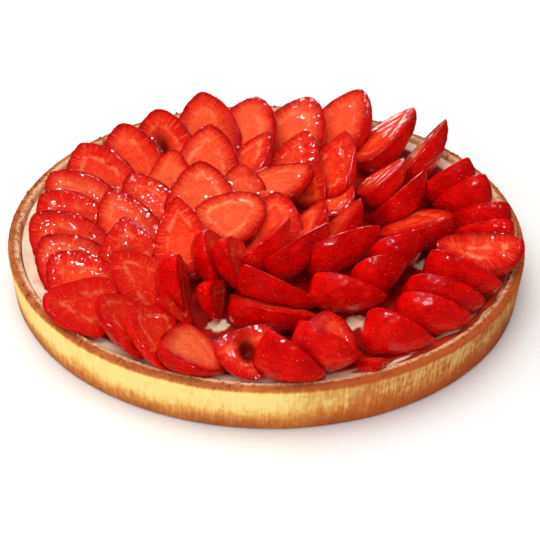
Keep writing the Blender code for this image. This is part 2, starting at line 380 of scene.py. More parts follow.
def make_pastry(case_radius, case_height):
    material, tree, shader = new_material("baked_shortcrust", Roughness=0.62, IOR=1.45)
    shader.inputs["Specular IOR Level"].default_value = 0.35
    place = add_node(tree, "ShaderNodeTexCoord").outputs["Object"]
    parts = add_node(tree, "ShaderNodeSeparateXYZ", {"Vector": place})
    height = parts.outputs["Z"]
    level = add_node(tree, "ShaderNodeVectorMath", {"Vector": place, "Vector_001": (1, 1, 0)},
                     operation="MULTIPLY")
    radius = add_node(tree, "ShaderNodeVectorMath", {"Vector": level},
                      operation="LENGTH").outputs["Value"]
    upright = add_node(tree, "ShaderNodeVectorMath", {"Vector": place, "Vector_001": (1, 1, 0.07)},
                       operation="MULTIPLY")
    streaks = add_node(tree, "ShaderNodeTexNoise",
                       {"Vector": upright, "Scale": 1 / (1.1 * MM), "Detail": 2, "Roughness": 0.6})
    broad = add_node(tree, "ShaderNodeTexNoise",
                     {"Vector": place, "Scale": 1 / (22 * MM), "Detail": 3, "Roughness": 0.6})
    mottle = add_node(tree, "ShaderNodeTexNoise",
                      {"Vector": place, "Scale": 1 / (3.2 * MM), "Detail": 4, "Roughness": 0.65})
    # How brown: high at the foot and the rim, moved up and down by the noises.
    foot = between(tree, height, 15 * MM, 0.5 * MM)
    top = between(tree, height, case_height - 2.8 * MM, case_height - 0.5 * MM)
    wander = add_node(tree, "ShaderNodeMath", {"Value": mottle, "Value_001": broad}, operation="ADD")
    wander = add_node(tree, "ShaderNodeMath", {"Value": wander, "Value_001": streaks}, operation="ADD")
    wander = add_node(tree, "ShaderNodeMath", {"Value": wander, "Value_001": 1.5}, operation="SUBTRACT")
    # More orange and browner towards +X and -Y, the front right.
    front_right_share = add_node(tree, "ShaderNodeVectorMath", {"Vector": place, "Vector_001": (0.77, -0.64, 0)},
                   operation="DOT_PRODUCT").outputs["Value"]
    front_right_share = between(tree, front_right_share, 0.62 * case_radius, 0.97 * case_radius)
    browning = multiply(tree, foot, 0.66)
    ring = multiply(tree, top, 0.72)
    browning = add_node(tree, "ShaderNodeMath", {"Value": browning, "Value_001": ring}, operation="MAXIMUM")
    browning = add_node(tree, "ShaderNodeMath", {"Value": front_right_share, "Value_001": 0.17, "Value_002": browning},
                        operation="MULTIPLY_ADD")
    browning = add_node(tree, "ShaderNodeMath",
                        {"Value": wander, "Value_001": 0.5, "Value_002": browning},
                        operation="MULTIPLY_ADD")
    wall = add_node(tree, "ShaderNodeValToRGB", {"Fac": browning}, stops=(
        (0.0, "F9DC86"), (0.14, "F6CC70"), (0.3, "E6A44C"), (0.46, "CF8036"), (0.62, "B9662A"),
        (0.8, "A24E24"), (0.96, "863A18"),
    ))
    orange_share = add_node(tree, "ShaderNodeMath", {"Value": between(tree, wander, -0.2, 0.2),
                                              "Value_001": 0.5, "Value_002": 0.42},
                     operation="MULTIPLY_ADD")
    wall = mix_colours(tree, multiply(tree, front_right_share, orange_share), wall.outputs["Color"], "C05412")
    inside = between(tree, radius, case_radius - 2.8 * MM, case_radius - 4.4 * MM)
    pale = add_node(tree, "ShaderNodeValToRGB", {"Fac": wander}, stops=(
        (0.0, "E6B488"), (0.12, "C47C4A"), (0.28, "A0522A"),
    ))
    colour = mix_colours(tree, inside, wall, pale.outputs["Color"])
    tree.links.new(colour, shader.inputs["Base Color"])
    bump = add_node(tree, "ShaderNodeBump", {"Height": streaks, "Strength": 0.35, "Distance": 0.25 * MM})
    bump = add_node(tree, "ShaderNodeBump",
                    {"Height": mottle, "Strength": 0.4, "Distance": 0.35 * MM, "Normal": bump})
    tree.links.new(bump.outputs["Normal"], shader.inputs["Normal"])
    return material


case_low, case_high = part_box("crust")
CASE_RADIUS = case_high.x
CASE_HEIGHT = case_high.z
pastry = make_pastry(CASE_RADIUS, CASE_HEIGHT)
print("case radius and height in mm:", round(CASE_RADIUS / MM, 1), round(CASE_HEIGHT / MM, 1))

# %% [markdown]
# ## The case itself
#
# The outline starts at the middle of the underside, runs out to a rounded foot, up a wall that
# leans out a little, over the rim and down to the floor inside. It stays a hair inside the solid
# that it stands for, so that the roughness never makes the case wider than it is.

# %% Turn the case
CASE_WALL = 5.6 * MM
CASE_FLOOR = 5 * MM
FOOT_ROUNDING = 1.6 * MM
RIM_ROUNDING = 1.5 * MM
ROUGHNESS_ROOM = 0.35 * MM
WALL_STEPS = 14


def case_outline():
    """(radius, height, wall, rim) rows for the case."""
    edge = CASE_RADIUS - ROUGHNESS_ROOM
    foot_edge = edge - 1.4 * MM
    top = CASE_HEIGHT - ROUGHNESS_ROOM
    inner = edge - CASE_WALL
    rows = [(0, 0, 0, 0), (foot_edge - 12 * MM, 0, 0, 0)]
    for radius, height in arc((foot_edge - FOOT_ROUNDING, FOOT_ROUNDING), FOOT_ROUNDING, -90, 0, 4):
        rows.append((radius, height, 0, 0))
    wall_top = top - RIM_ROUNDING
    for step in range(1, WALL_STEPS):
        share = step / WALL_STEPS
        height = FOOT_ROUNDING + (wall_top - FOOT_ROUNDING) * share
        lean = foot_edge + (edge - foot_edge) * share
        rows.append((lean, height, math.sin(math.pi * share) ** 0.5, max(0, 4 * share - 3)))
    for radius, height in arc((edge - RIM_ROUNDING, wall_top), RIM_ROUNDING, 0, 90, 4):
        rows.append((radius, height, 0, 1))
    middle = (edge + inner) / 2
    rows.append((middle, top + 0.1 * MM, 0, 1))
    for radius, height in arc((inner + RIM_ROUNDING, wall_top), RIM_ROUNDING, 90, 180, 4):
        rows.append((radius, height, 0, 1))
    for depth in (1.6, 3.4):
        rows.append((inner - 0.1 * depth * MM, wall_top - depth * MM, 0, 0.5))
    rows.append((inner - 0.6 * MM, CASE_FLOOR, 0, 0))
    rows.append((0, CASE_FLOOR, 0, 0))
    return rows


case = turn_outline("pastry_case", case_outline(), {
    "Steps Round": 1440, "Groove Pitch": 2.1 * MM, "Groove Depth": 0.28 * MM,
    "Lump Size": 24 * MM, "Lump Height": 0.5 * MM,
    "Rim Grain Size": 2.6 * MM, "Rim Grain Height": 0.75 * MM, "Material": pastry,
})
for vertex in case.data.vertices:
    vertex.co.z = max(vertex.co.z, 0)
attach(case, "root")
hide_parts("crust")
print("case triangles:", sum(len(face.vertices) - 2 for face in case.data.polygons))

# %% [markdown]
# ## Pastry cream
#
# The cream is cooked milk, egg and starch, spread almost level with a palette knife. It shows in the gaps
# between the berries and as a pale band inside the rim. It is a soft, slightly wet solid, so it scatters
# light below its surface and has a gentle gloss. Where the red glaze has run onto it, it turns pink, and
# between the berries it is painted a dark red that is juice stain and painted shade together. The same tree
# turns it from a simple outline.

# %% Make the cream
GAP = 0.3 * MM
CREAM_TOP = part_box("cream")[1].z
CLEAN_BAND = 11 * MM
# (azimuth in degrees, distance from the middle in mm) of the clean spots.
CLEAN_SPOTS = ((227, 74), (255, 76), (247, 37), (303, 68), (299, 79), (341, 76), (332, 84), (44, 56))


def make_cream():
    material, tree, shader = new_material(
        "egg_pastry_cream", Roughness=0.34, IOR=1.42, Subsurface_Weight=0.25,
        Subsurface_Scale=1.5 * MM, Coat_Weight=0.5, Coat_Roughness=0.12,
    )
    place = add_node(tree, "ShaderNodeTexCoord").outputs["Object"]
    patches = add_node(tree, "ShaderNodeTexNoise",
                       {"Vector": place, "Scale": 1 / (9 * MM), "Detail": 4, "Roughness": 0.6})
    clean = add_node(tree, "ShaderNodeValToRGB", {"Fac": patches}, stops=(
        (0.38, "FFF0D4"), (0.55, "FCE2BE"), (0.72, "F6BE98"),
    ))
    # Juice stains it red between the berries, and its darkest reds there are painted shade for the gaps. A
    # clean band is left at the rim, with a few clean spots.
    level = add_node(tree, "ShaderNodeVectorMath", {"Vector": place, "Vector_001": (1, 1, 0)},
                     operation="MULTIPLY")
    radius = add_node(tree, "ShaderNodeVectorMath", {"Vector": level},
                      operation="LENGTH").outputs["Value"]
    juice_and_shade_cover = between(tree, radius, CASE_RADIUS - CLEAN_BAND, CASE_RADIUS - CLEAN_BAND - 3 * MM)
    for azimuth, distance in CLEAN_SPOTS:
        turn = math.radians(azimuth)
        spot = (distance * MM * math.cos(turn), distance * MM * math.sin(turn), 0)
        gap = add_node(tree, "ShaderNodeVectorMath", {"Vector": level, "Vector_001": spot},
                       operation="DISTANCE").outputs["Value"]
        gap = add_node(tree, "ShaderNodeMath", {"Value": patches, "Value_001": 12 * MM,
                                                "Value_002": gap}, operation="MULTIPLY_ADD")
        juice_and_shade_cover = multiply(tree, juice_and_shade_cover, between(tree, gap, 9.5 * MM, 11.5 * MM))
    # Painted shade: the darkest stops of this ramp stand for the shade in the gaps, on top of the red juice
    # stain.
    juice_and_gap_shade = add_node(tree, "ShaderNodeValToRGB", {"Fac": patches}, stops=(
        (0.35, "7E0200"), (0.5, "A60A04"), (0.64, "BE2010"), (0.8, "E06A44"),
    ))
    colour = add_node(tree, "ShaderNodeMix", {
        "Factor_Float": juice_and_shade_cover, "A_Color": clean.outputs["Color"], "B_Color": juice_and_gap_shade.outputs["Color"],
    }, data_type="RGBA")
    tree.links.new(next(one for one in colour.outputs if one.identifier == "Result_Color"),
                   shader.inputs["Base Color"])
    fine = add_node(tree, "ShaderNodeTexNoise", {"Vector": place, "Scale": 1 / (1.5 * MM), "Detail": 2})
    bump = add_node(tree, "ShaderNodeBump", {"Height": fine, "Strength": 0.25, "Distance": 0.3 * MM})
    tree.links.new(bump.outputs["Normal"], shader.inputs["Normal"])
    return material


def cream_outline():
    """(radius, height, wall, rim) rows: a disc that creeps up the pastry at its edge."""
    edge = CASE_RADIUS - CASE_WALL - 2 * GAP - ROUGHNESS_ROOM
    rows = [(0, CASE_FLOOR + GAP, 0, 0), (edge - 0.6 * MM, CASE_FLOOR + GAP, 0, 0)]
    rows += [(edge - 0.2 * MM, CREAM_TOP - 4 * MM, 0, 0), (edge, CREAM_TOP - 0.6 * MM, 0, 0.4)]
    creep = 5 * MM
    for step in range(5):
        share = step / 4
        rows.append((edge - creep * share, CREAM_TOP + 0.9 * MM * (1 - share) ** 3, 0, 0.6))
    for step in range(1, 46):
        rows.append(((edge - creep) * (1 - step / 46), CREAM_TOP, 0, 0.6))
    rows.append((0, CREAM_TOP, 0, 0))
    return rows


cream = turn_outline("pastry_cream_layer", cream_outline(), {
    "Steps Round": 240, "Groove Pitch": 2 * MM, "Groove Depth": 0.0,
    "Lump Size": 14 * MM, "Lump Height": 0.5 * MM,
    "Rim Grain Size": 5 * MM, "Rim Grain Height": 0.8 * MM, "Material": make_cream(),
})
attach(cream, "root")
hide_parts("cream")
print("cream triangles:", sum(len(face.vertices) - 2 for face in cream.data.polygons))

# %% [markdown]
# ## Where the strawberries lie
#
# Each row lays one half: the azimuth, distance from the middle and height of its point, how far
# the point is turned from straight out, how far it tips up, how far the cut face leans towards
# the next half, then its length and width, in degrees and millimetres, and how drawn-in its point
# is, in hundredths. They are in the order in which a pastry cook lays them, because a half is
# pressed out of shape only by later ones. The last group tucks small pieces into the gaps.

# %% The order of laying
LOW_FRONT = (
    (312, 79, 25, 44, -10, 60, 34, 26, 62),
    (327, 73, 32, 53, 7, 60, 26, 28, 62),
    (341, 75, 33, 38, 8, 60, 27, 28, 62),
    (288, 77, 25, 71, -12, 28, 39, 28, 62),
    (292, 101, 22, 35, -20, 10, 23, 28, 62),
)
OUTER_RING = (
    (310, 111, 22, 39, -13, 60, 31, 31, 75),
    (321, 113, 24, 36, -10, 65, 33, 27, 62),
    (328, 112, 24, 31, -13, 60, 36, 30, 62),
    (334, 115, 27, 11, -15, 50, 35, 30, 62),
    (353, 83, 25, -170, -6, -60, 31, 26, 62),
    (0, 82, 27, -178, -7, -60, 31, 29, 62),
    (10, 79, 27, -171, -14, -60, 28, 30, 62),
    (17, 73, 28, -170, -17, -55, 30, 32, 62),
    (40, 116, 40, 3, 30, 45, 42, 29, 62),
    (49, 112, 41, -13, 26, 24, 44, 33, 58),
    (65, 112, 42, -14, 33, 15, 42, 39, 55),
    (78, 100, 39, -17, 30, 10, 42, 42, 58),
    (94, 97, 39, -25, 30, 12, 41, 41, 58),
    (110, 105, 40, -12, 36, 20, 42, 38, 62),
    (125, 101, 38, -24, 36, 20, 40, 37, 60),
    (138, 100, 38, -32, 34, 20, 40, 36, 60),
    (152, 105, 36, -29, 30, 20, 39, 35, 58),
    (168, 106, 35, -26, 25, 25, 39, 34, 58),
    (178, 105, 35, -35, 25, 25, 39, 34, 58),
    (187, 107, 34, -41, 25, 25, 39, 34, 58),
    (197, 105, 33, -51, 25, 25, 38, 34, 58),
    (204, 103, 32, -61, 22, 20, 37, 33, 58),
    (232, 110, 21, 68, -26, 5, 29, 34, 72),
)
MIDDLE_RING = (
    (341, 54, 29, -131, -7, -25, 34, 34, 62),
    (22, 80, 36, 22, 16, 50, 36, 32, 62),
    (28, 74, 40, 0, 27, 30, 29, 30, 62),
    (58, 71, 40, 11, 23, 25, 43, 31, 66),
    (74, 66, 38, -6, 22, 20, 40, 33, 64),
    (90, 62, 38, -38, 25, 15, 40, 30, 68),
    (115, 71, 40, -28, 27, 10, 42, 36, 66),
    (164, 68, 38, -40, 25, 15, 38, 30, 62),
    (178, 74, 38, -56, 27, 15, 38, 30, 62),
    (197, 67, 38, -96, 28, 5, 38, 32, 68),
    (214, 81, 36, -65, 24, 10, 38, 31, 66),
)
FRONT_RIM = (
    (244, 112, 21, 53, -22, 28, 34, 22, 66),
    (251, 115, 21, 40, -23, 25, 33, 24, 66),
    (262, 108, 21, 70, -22, 15, 29, 29, 62),
    (269, 112, 21, 28, -39, -12, 22, 27, 62),
    (283, 113, 22, 53, -21, 60, 30, 30, 62),
    (292, 107, 25, 50, -16, 50, 29, 36, 62),
)
INNER_SWIRL = (
    (3, 43, 37, 43, 26, 40, 38, 29, 62),
    (357, 26, 38, 53, 26, 30, 38, 29, 62),
    (55, 36, 38, -26, 14, -5, 32, 27, 62),
    (139, 43, 40, -44, 22, 0, 40, 36, 64),
    (210, 3, 38, 189, 9, -15, 34, 29, 46),
    (186, 42, 40, -87, 17, 5, 45, 27, 74),
    (245, 78, 19, 32, -34, 75, 28, 29, 62),
    (342, 54, 34, 44, 9, 55, 40, 28, 62),
    (324, 35, 38, 70, 15, 50, 38, 28, 62),
    (299, 21, 39, 98, 21, 40, 34, 28, 62),
    (291, 69, 25, 54, -18, 45, 38, 28, 62),
    (251, 58, 22, 26, -34, 60, 28, 27, 62),
)
FACE_UP_ON_TOP = ((335, 107, 29, -60, -14, 0, 24, 40, 55),)
TUCKED_IN = (
    (61, 43, 36, 17, 42, 20, 24, 22, 62),
    (40, 49, 30, 27, 17, 20, 26, 22, 62),
    (138, 63, 38, -53, 32, 15, 34, 28, 62),
    (116, 31, 39, -22, 37, 10, 30, 28, 62),
    (40, 5, 39, 46, 27, 10, 32, 29, 62),
    (255, 74, 19, 22, -57, 65, 18, 21, 62),
    (260, 57, 24, 21, -42, 60, 24, 25, 62),
    (298, 109, 21, 84, -9, 30, 13, 16, 62),
    (248, 82, 20, 72, -39, 30, 18, 24, 62),
)
LAYING_ORDER = (
    ("tucked", TUCKED_IN),
    ("low", LOW_FRONT),
    ("outer", OUTER_RING),
    ("middle", MIDDLE_RING),
    ("front", FRONT_RIM),
    ("inner", INNER_SWIRL),
    ("top", FACE_UP_ON_TOP),
)
rows = []
for group, members in LAYING_ORDER:
    for number, row in enumerate(members, 1):
        rows.append((f"{group}_{number:02d}", row))
print("strawberry halves to lay:", len(rows))

# %% [markdown]
# ## The shape of a half strawberry
#
# A strawberry is round across and follows one outline along its length: a blunt shoulder, a wide
# upper third and a drawn-in point. A half is that shape cut along its axis. The skin is a grid of
# rings and columns, and the cut face closes each ring with more columns, so one half is a single
# closed tube with a pole at each end. Its own frame has the shoulder at x = 0, the point at
# x = length and the cut face at z = 0.


# %% Outline, unevenness and place of a half
DEPTH_SHARE = 0.45
SHOULDER_FULLNESS = 0.25


def across_at(share, taper):
    """The width at this share of the length, as a share of the greatest width."""
    share = np.clip(share, 0, 1)
    widest = SHOULDER_FULLNESS / (SHOULDER_FULLNESS + taper)
    greatest = widest ** SHOULDER_FULLNESS * (1 - widest) ** taper
    return share ** SHOULDER_FULLNESS * (1 - share) ** taper / greatest


def waves(points, seed, size):
    """Smooth unevenness between -1 and 1, from a few crossed waves about this long."""
    chance = np.random.default_rng(seed)
    total = np.zeros(points.shape[:-1])
    for _ in range(6):
        direction = chance.normal(size=3)
        direction *= 2 * math.pi / (size * chance.uniform(0.7, 1.4) * np.linalg.norm(direction))
        total += np.sin(points @ direction + chance.uniform(0, 2 * math.pi))
    return total / 6


def laid_frame(row):
    """The matrix that takes a half from its own frame to its place on the tart."""
    azimuth, radius, height, turn, lift, lean, length = row[:7]
    heading = math.radians(azimuth + turn)
    lift = math.radians(lift)
    lean = math.radians(lean)
    forward = Vector((
        math.cos(heading) * math.cos(lift), math.sin(heading) * math.cos(lift), math.sin(lift),
    ))
    beside = Vector((-math.sin(heading), math.cos(heading), 0))
    face = forward.cross(beside) * math.cos(lean) + beside * math.sin(lean)
    turned = Matrix((forward, face.cross(forward), face)).transposed().to_4x4()
    around = math.radians(azimuth)
    point = Vector((math.cos(around) * radius, math.sin(around) * radius, height)) * MM
    return Matrix.Translation(point) @ turned @ Matrix.Translation((-length * MM, 0, 0))


print("width at a tenth of the length:", round(float(across_at(0.1, 0.6)), 2))

# %% [markdown]
# ## Where the seeds sit
#
# Seeds follow the plant's spiral: each is turned 137.5 degrees from the one before, and they are
# spaced so that each has the same area of skin. Walking along the fruit by equal areas instead of
# equal lengths gives that spacing. Each seed sits in a small dimple, which is real shape here and
# not only shading, because it notches the outline of the cut face too.


# %% Seed places
SEED_PITCH = 3.1 * MM
GOLDEN_TURN = math.radians(137.508)


def seed_sites(row, seed):
    """Points on the smooth skin, in the half's own frame, one for each seed."""
    length, width, taper = row[6] * MM, row[7] * MM, row[8] / 100
    shares = np.linspace(0, 1, 300)
    radii = across_at(shares, taper) * width / 2
    steps = np.hypot(np.diff(shares * length), np.diff(radii))
    area = np.concatenate([[0], np.cumsum(math.pi * (radii[1:] + radii[:-1]) * steps)])
    chance = np.random.default_rng(seed)
    count = int(area[-1] / (SEED_PITCH ** 2 * 0.87))
    index = np.arange(count)
    share = np.interp((index + 0.5 + chance.uniform(-0.25, 0.25, count)) / count * area[-1], area, shares)
    angle = (index * GOLDEN_TURN + chance.uniform(-0.12, 0.12, count) + seed) % (2 * math.pi)
    keep = (angle < math.pi) & (share > 0.04)
    share, angle = share[keep], angle[keep]
    across = across_at(share, taper) * width
    return np.stack([
        share * length, across / 2 * np.cos(angle), -across * DEPTH_SHARE * np.sin(angle),
    ], axis=1)


print("seeds on the first outer half:", len(seed_sites(OUTER_RING[0], 1)))

# %% [markdown]
# ## Building one half
#
# The skin is moved along its normal by slow waves, so that no two halves are alike, and inwards at
# every seed. The edge of the cut is a narrow bevel, because the glaze rounds it. The cut face has
# its own low relief: it swells a little, sinks along the ring of veins, and in some berries opens
# into the hollow heart that large strawberries have.


# %% Build a half
EDGE_BEVEL = 0.45 * MM
DIMPLE_REACH = 1.15 * MM
DIMPLE_DEPTH = 0.58 * MM
VEIN_PLACE = 0.46
# How deep each hollow heart is sunk, which also sets how much painted shade darkens it.
HOLLOW_HEARTS_AND_SHADE = {"outer_15": 1.0, "front_04": 1.5, "middle_10": 0.5, "outer_20": 0.4}
CLEAR_VEINS = {"inner_05": 1.0, "top_01": 0.9, "middle_07": 0.7, "middle_06": 0.7, "front_03": 0.5,
               "outer_12": 0.5, "inner_04": 0.7, "outer_17": 0.6, "inner_06": 0.6, "middle_04": 0.5}
PALE_FLESH = {"front_03": 0.8, "inner_05": 0.45, "outer_13": 0.6, "outer_11": 0.4, "outer_12": 0.5,
              "middle_07": 0.35, "inner_04": 0.5, "outer_14": 0.3, "outer_16": 0.2, "inner_03": 0.4,
              "middle_11": -1.0, "outer_23": -0.9, "front_01": -0.9, "front_02": -0.8, "middle_04": -0.6,
              "middle_10": -0.5, "outer_22": -0.3, "inner_06": -0.4, "middle_05": -0.5, "low_04": -0.8,
              "inner_07": -1.0, "inner_12": -1.0, "inner_10": -0.6, "front_04": -0.3, "outer_19": -0.4,
              "outer_20": -0.2, "tucked_07": -1.0, "tucked_06": -1.0, "tucked_09": -1.0,
              "tucked_03": 0.5, "tucked_04": 0.4, "middle_09": 0.3, "outer_21": 0.5, "outer_18": 0.4}


def inset_of(points, row):
    """How far in from the cut's outline each point is, as a share of the half width, and where
    round the outline its nearest place is, in metres."""
    length, width = row[6] * MM, row[7] * MM
    shares = (1 - np.cos(np.linspace(0, math.pi, 90))) / 2
    side = across_at(shares, row[8] / 100) * width / 2
    line = np.concatenate([
        np.stack([shares * length, side], axis=1), np.stack([shares[::-1] * length, -side[::-1]], axis=1),
    ])
    run = np.concatenate([[0], np.cumsum(np.linalg.norm(np.diff(line, axis=0), axis=1))])
    apart = np.linalg.norm(points[:, None, :2] - line[None], axis=2)
    nearest = apart.argmin(axis=1)
    return apart.min(axis=1) / (width / 2), run[nearest]


def half_surface(row, seed, rings, skin_columns, face_columns, grown=0.0, hollow=0.0):
    """(points, faces, cut) of a closed half in its own frame. cut marks the faces of the cut."""
    length, width = row[6] * MM, row[7] * MM
    share = (1 - np.cos(math.pi * np.arange(1, rings) / rings)) / 2
    across = across_at(share, row[8] / 100)
    angle = np.linspace(0, math.pi, skin_columns + 1)
    skin = np.stack([
        np.repeat(share[:, None] * length, skin_columns + 1, axis=1),
        across[:, None] * width / 2 * np.cos(angle),
        -across[:, None] * width * DEPTH_SHARE * np.sin(angle),
    ], axis=2)
    outward = np.cross(np.gradient(skin, axis=1), np.gradient(skin, axis=0))
    outward /= np.linalg.norm(outward, axis=2, keepdims=True)
    outward *= np.sign(outward[rings // 2, skin_columns // 2, 2]) * -1
    move = grown + 0.4 * MM * waves(skin, seed, 17 * MM) * across[:, None] ** 0.5
    if not grown:
        sites = seed_sites(row, seed)
        flat = skin.reshape(-1, 3)
        nearest = np.linalg.norm(flat[:, None] - sites[None], axis=2).min(axis=1)
        dimples = np.exp(-(nearest / DIMPLE_REACH) ** 2).reshape(move.shape)
        move = move - DIMPLE_DEPTH * dimples
    skin = skin + outward * move[..., None]
    # The cut face runs from the first skin column back to the last.
    bevel = np.minimum(EDGE_BEVEL, 0.25 * across * width)
    left, right = skin[:, 0, 1], skin[:, -1, 1]
    skin[:, 0, 2] = skin[:, -1, 2] = grown - bevel
    turn = np.linspace(-1, 1, face_columns)
    middle, reach = (left + right) / 2, (left - right) / 2 - bevel
    face = np.zeros((rings - 1, face_columns, 3))
    face[..., 0] = (skin[:, 0, 0] + skin[:, -1, 0])[:, None] / 2
    face[..., 1] = middle[:, None] + reach[:, None] * turn
    face[..., 2] = grown
    if not grown:
        inset, around = inset_of(face.reshape(-1, 3), row)
        inset, around = inset.reshape(face.shape[:2]), around.reshape(face.shape[:2])
        swell = 0.35 * MM * np.clip(inset / 0.3, 0, 1) ** 0.5
        vein = 0.28 * MM * np.exp(-((inset - VEIN_PLACE) / 0.07) ** 2)
        fibres = 0.05 * MM * np.sin(around * 2 * math.pi / (1.9 * MM)) * (inset < VEIN_PLACE)
        core_x = (face[..., 0] / length - 0.42) / 0.2
        core_y = face[..., 1] / (0.11 * width)
        heart = np.exp(-(core_x ** 2 + core_y ** 2))
        uneven = 0.3 * MM * waves(face, seed + 50, 9 * MM)
        face[..., 2] += swell - vein + fibres + uneven * np.clip(inset * 4, 0, 1)
        face[..., 2] -= heart * (0.3 + 4.5 * hollow) * MM
    loops = np.concatenate([skin, face], axis=1)
    columns = loops.shape[1]
    ends = np.array([[-grown, 0, grown - 0.2 * MM], [length + grown, 0, grown - 0.2 * MM]])
    points = np.concatenate([loops.reshape(-1, 3), ends])
    shoulder, point = len(points) - 2, len(points) - 1
    faces, cut = [], []
    for ring in range(rings - 1):
        for column in range(columns):
            here = ring * columns + column
            beside = ring * columns + (column + 1) % columns
            is_cut = column > skin_columns and column < columns - 1
            if ring < rings - 2:
                faces.append((here, beside, beside + columns, here + columns))
                cut.append(is_cut)
            if ring == 0:
                faces.append((shoulder, beside, here))
                cut.append(is_cut)
            if ring == rings - 2:
                faces.append((point, here, beside))
                cut.append(is_cut)
    return points, faces, cut


def half_mesh(name, row, surface):
    """A mesh in its place on the tart, with the cut face in the second material slot."""
    points, faces, cut = surface
    mesh = bpy.data.meshes.new(name)
    mesh.from_pydata(points.tolist(), [], faces)
    mesh.transform(laid_frame(row))
    mesh.materials.append(skin_material)
    mesh.materials.append(flesh_material)
    mesh.polygons.foreach_set("material_index", np.array(cut, dtype=np.int32))
    model = bmesh.new()
    model.from_mesh(mesh)
    if model.calc_volume(signed=True) < 0:
        bmesh.ops.reverse_faces(model, faces=model.faces)
    model.to_mesh(mesh)
    model.free()
    return mesh


sample = half_surface(OUTER_RING[0], 1, 60, 50, 26)
print("points and faces of a half:", len(sample[0]), len(sample[1]))

# %% [markdown]
# ## Strawberry skin under glaze
#
# Ripe skin is a deep even red. The glaze is a clear jelly about half a millimetre thick, brushed
# on hot: it fills the small unevenness of the skin and gives sharp, broken highlights. In the
# shader that is a coat over a softer red surface, with a slow bump so that the highlights wander.
# An attribute says where the dimples are, and the skin is painted darker at the bottom of each one, as
# painted shade.


# %% Make the skin
def make_skin():
    material, tree, shader = new_material(
        "glazed_strawberry_skin", Roughness=0.38, IOR=1.38, Subsurface_Weight=0.1,
        Subsurface_Scale=2 * MM, Coat_Weight=1.0, Coat_Roughness=0.05, Coat_IOR=1.5,
    )
    shader.inputs["Specular IOR Level"].default_value = 0.08
    shader.inputs["Subsurface Radius"].default_value = (1, 0.08, 0.04)
    place = add_node(tree, "ShaderNodeTexCoord").outputs["Object"]
    skin = add_node(tree, "ShaderNodeAttribute", attribute_name="skin")
    parts = add_node(tree, "ShaderNodeSeparateXYZ", {"Vector": skin.outputs["Vector"]})
    patches = add_node(tree, "ShaderNodeTexNoise",
                       {"Vector": place, "Scale": 1 / (7 * MM), "Detail": 3, "Roughness": 0.55})
    ripe = add_node(tree, "ShaderNodeMath", {"Value": parts.outputs["Z"], "Value_001": 0.1,
                                             "Value_002": patches}, operation="MULTIPLY_ADD")
    colour = add_node(tree, "ShaderNodeValToRGB", {"Fac": ripe}, stops=(
        (0.28, "B80000"), (0.5, "D40100"), (0.66, "E40703"), (0.8, "F01C0C"),
    ))
    # Painted shade: a darker red at the bottom of every dimple.
    dimple_shade = multiply(tree, parts.outputs["X"], 0.3)
    tree.links.new(mix_colours(tree, dimple_shade, colour.outputs["Color"], "9E0000"),
                   shader.inputs["Base Color"])
    slow = add_node(tree, "ShaderNodeTexNoise", {"Vector": place, "Scale": 1 / (2.6 * MM), "Detail": 1})
    bump = add_node(tree, "ShaderNodeBump", {"Height": slow, "Strength": 0.4, "Distance": 0.5 * MM})
    tree.links.new(bump.outputs["Normal"], shader.inputs["Coat Normal"])
    tree.links.new(bump.outputs["Normal"], shader.inputs["Normal"])
    return material


skin_material = make_skin()
print("made", skin_material.name)
